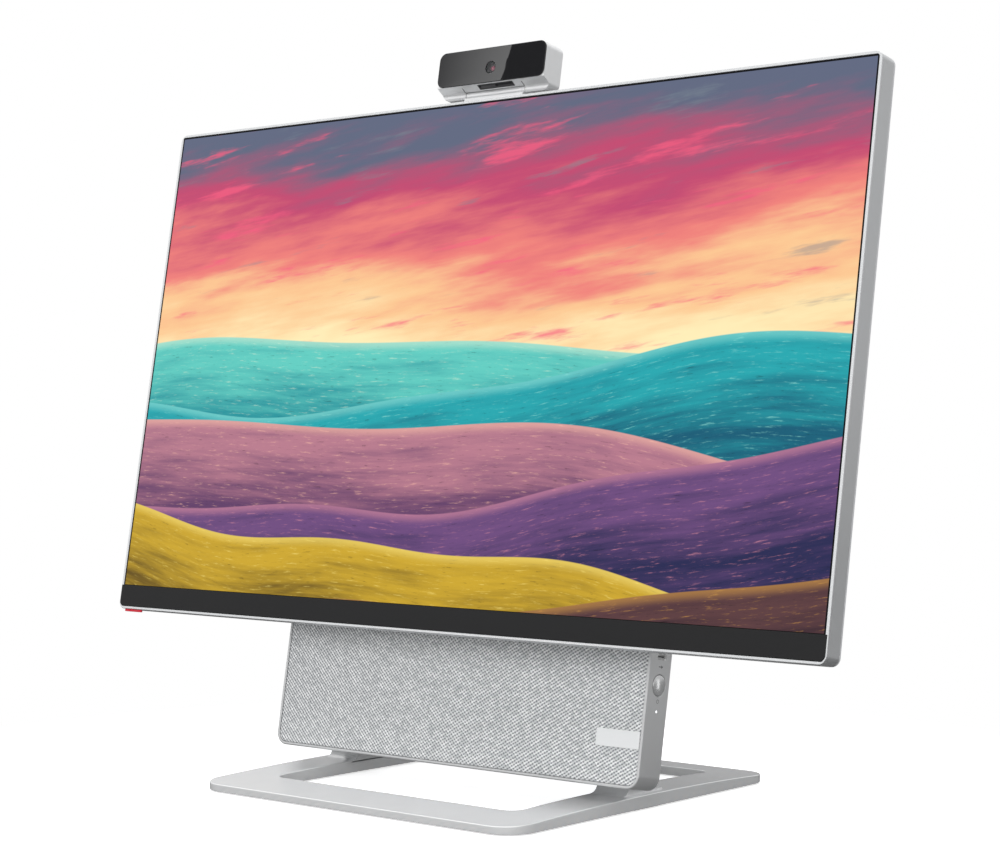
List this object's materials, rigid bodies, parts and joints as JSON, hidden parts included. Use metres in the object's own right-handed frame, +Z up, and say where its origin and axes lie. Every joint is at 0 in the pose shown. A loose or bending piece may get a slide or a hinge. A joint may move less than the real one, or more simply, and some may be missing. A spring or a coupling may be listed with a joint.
{
  "type": "all in one pc",
  "caption": "All in one computer: a wide screen that tilts and turns upright on a leaning base with cloth-covered speakers, an open ring foot and a lift-off camera.",
  "frame": {"origin": "on the desk, under the middle of the ring foot", "axes": "+X to the viewer's right along the screen's width, +Y to the back, +Z up"},
  "size_m": [0.614, 0.278, 0.503],
  "materials": {
    "silver_metal": "satin, bead blasted",
    "silver_cover": "silver paint, matte",
    "badge_metal": "satin, bare",
    "speaker_cloth": "two-tone woven cloth",
    "black_plastic": "matte",
    "chin_plastic": "semi-gloss",
    "screen_glass": "clear over a dark panel",
    "panel_black": "dark",
    "camera_front": "polished",
    "clear_glass": "clear",
    "steel": "plain",
    "sheet_aluminium": "plain sheet",
    "circuit_board": "solder mask",
    "contact_metal": "plated",
    "washer_plastic": "natural",
    "pad_rubber": "matte",
    "light_white": "milky",
    "tag_red": "matte"
  },
  "bodies": {
    "base": {"foot_frame": "silver_metal", "foot_bracket_left": "silver_metal", "foot_bracket_right": "silver_metal", "foot_pads": "pad_rubber", "foot_screws": "steel", "base_shell": "silver_metal", "base_chassis": "steel", "speaker_grille": "black_plastic", "grille_cloth": "speaker_cloth", "badge_plate": "badge_metal", "front_cover": "silver_metal", "speaker_left": "black_plastic", "speaker_right": "black_plastic", "rear_box": "silver_cover", "box_screws": "steel", "mainboard": "circuit_board", "heatsink": "sheet_aluminium", "fan_housing": "black_plastic", "memory_modules": "circuit_board", "solid_state_drive": "circuit_board", "data_ports": "steel", "video_port": "steel", "network_port": "steel", "power_inlet": "black_plastic", "oval_port": "steel", "headphone_socket": "black_plastic", "button_board": "circuit_board", "status_light": "light_white", "hinge_base": "steel", "hinge_screws": "steel", "tilt_shaft": "steel", "shaft_collars": "steel"},
    "tilt_carrier": {"tilt_plate": "steel", "pivot_pin": "steel", "pivot_washer": "washer_plastic"},
    "display": {"pivot_hub": "silver_metal", "hub_screws": "steel", "display_frame": "silver_metal", "display_glass": "screen_glass", "chin_strip": "chin_plastic", "panel_module": "panel_black", "display_chassis": "sheet_aluminium", "frame_screws": "steel", "driver_board": "circuit_board", "display_rear_cover": "silver_cover", "red_tag": "tag_red", "camera_dock": "black_plastic", "dock_contacts": "contact_metal"},
    "camera_stand": {"camera_tongue": "silver_metal", "camera_hinge_pin": "steel"},
    "camera_head": {"camera_shell": "silver_cover", "camera_glass": "camera_front", "camera_window": "clear_glass", "camera_lens": "black_plastic", "camera_board": "circuit_board"},
    "shutter": {"shutter_slider": "black_plastic"},
    "power_button": {"power_button": "silver_metal"},
    "fan": {"fan_rotor": "black_plastic"}
  },
  "joints": [
    {"name": "display_tilt", "type": "hinge", "parent": "base", "child": "tilt_carrier", "pos_m": [0.066, 0.00764, 0.34787], "axis": [-1, 0, 0], "range_deg": [-2, 15]},
    {"name": "display_turn", "type": "hinge", "parent": "tilt_carrier", "child": "display", "pos_m": [0.066, -0.00137, 0.34946], "axis": [0, 0.9848, -0.1736], "range_deg": [0, 90]},
    {"name": "camera_lift", "type": "slide", "parent": "display", "child": "camera_stand", "axis": [0, 0.1736, 0.9848], "range_m": [0, 0.025]},
    {"name": "camera_tilt", "type": "hinge", "parent": "camera_stand", "child": "camera_head", "pos_m": [0, 0.01105, 0.47176], "axis": [1, 0, 0], "range_deg": [-10, 20]},
    {"name": "shutter_slide", "type": "slide", "parent": "camera_head", "child": "shutter", "axis": [1, 0, 0], "range_m": [0, 0.013]},
    {"name": "power_press", "type": "slide", "parent": "base", "child": "power_button", "axis": [-1, 0, 0], "range_m": [0, 0.0008], "stiffness_N_per_m": 800},
    {"name": "fan_spin", "type": "hinge", "parent": "base", "child": "fan", "pos_m": [-0.048, 0.02723, 0.23211], "axis": [0, 0.9848, -0.1736], "continuous": true}
  ]
}
